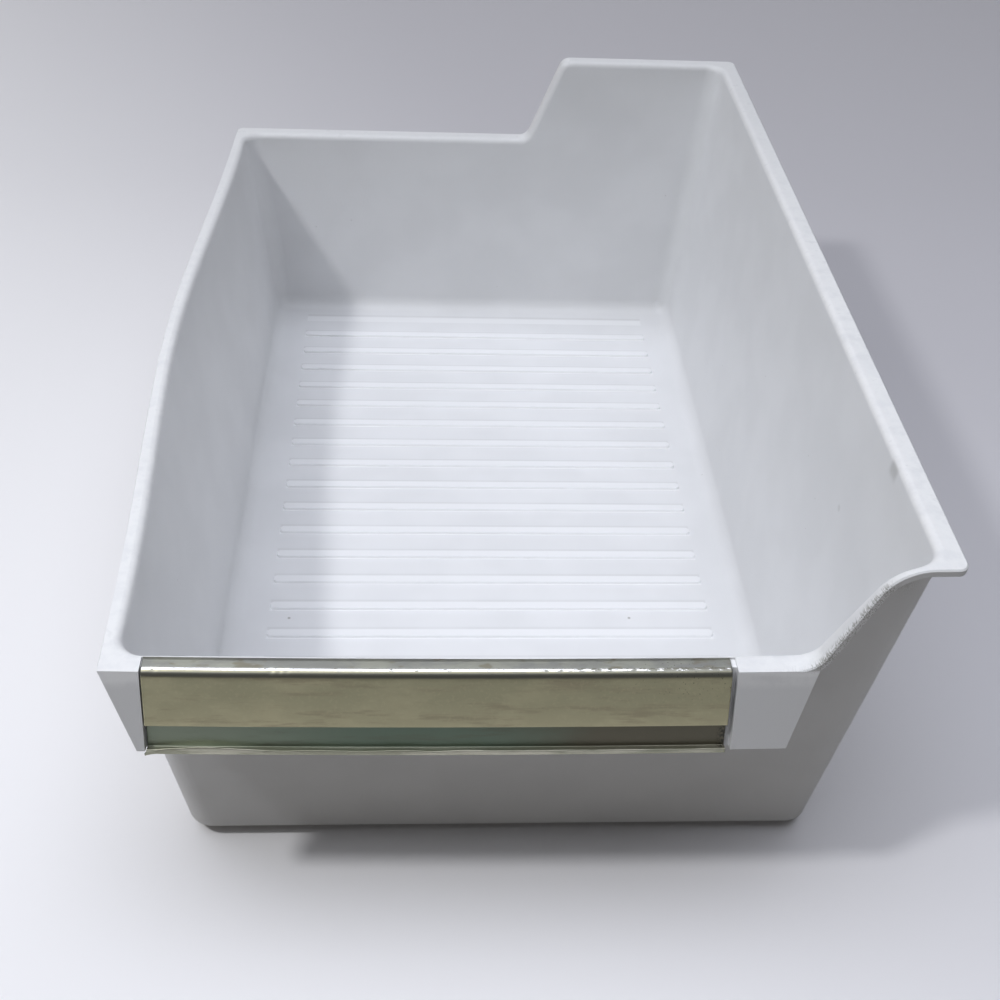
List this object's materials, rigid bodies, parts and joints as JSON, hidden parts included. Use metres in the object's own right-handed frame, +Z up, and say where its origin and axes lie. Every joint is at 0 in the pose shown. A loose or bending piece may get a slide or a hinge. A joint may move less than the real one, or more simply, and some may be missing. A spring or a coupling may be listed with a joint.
{
  "type": "refrigerator ice bin",
  "caption": "Open moulded plastic ice bin with drafted bowed walls, one tall side, an outward rim flange, floor ribs and a flared pull handle faced by a bent metal trim.",
  "frame": {"origin": "middle of the flat underside", "axes": "+X to the tall side, +Y from the handle to the back, +Z up"},
  "size_m": [0.2674, 0.3985, 0.148],
  "materials": {
    "bin_plastic": "satin white moulded plastic, scuffed along the rim",
    "trim_metal": "aged champagne metal, stained and worn at its edges"
  },
  "bodies": {
    "root": {"bin_tub": "bin_plastic", "front_trim": "trim_metal"}
  },
  "joints": []
}
